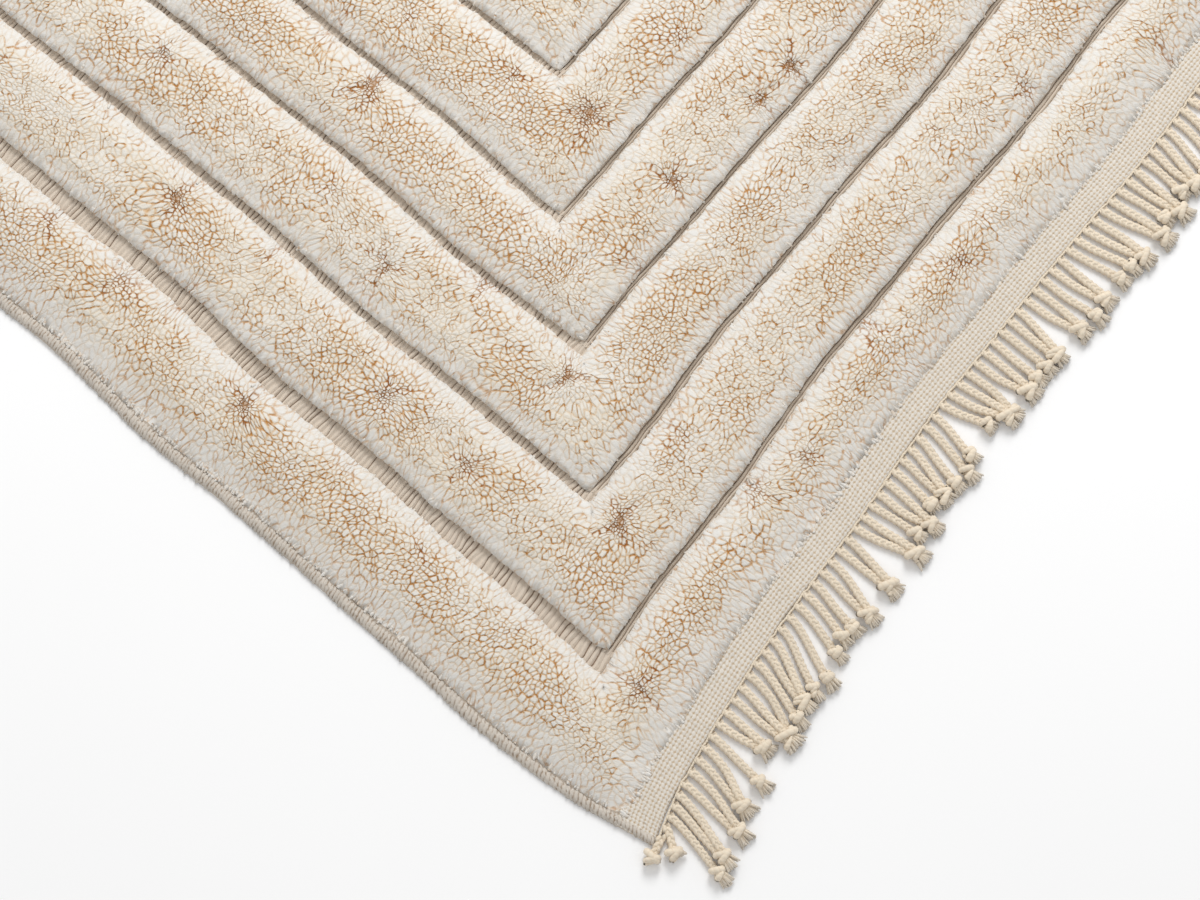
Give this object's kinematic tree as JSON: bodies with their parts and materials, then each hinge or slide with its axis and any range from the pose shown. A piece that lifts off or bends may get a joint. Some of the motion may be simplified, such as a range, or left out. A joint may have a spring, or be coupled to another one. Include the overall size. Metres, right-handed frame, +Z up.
{
  "type": "mrirt rug",
  "caption": "Thick ivory wool rug with nested rectangular channels carved in its pile, flat-woven ends and a braided, knotted fringe at each end.",
  "frame": {"origin": "on the floor, under the middle of the rug", "axes": "+Z up, Y along the warp from fringed end to fringed end, X across from selvedge to selvedge"},
  "size_m": [1.2554, 2.1432, 0.022],
  "materials": {
    "pile_wool": "matte cut wool pile",
    "warp_wool": "matte plied wool yarn"
  },
  "bodies": {
    "root": {"rug_cloth": "pile_wool", "fringe_near": "warp_wool", "fringe_far": "warp_wool"}
  },
  "joints": []
}
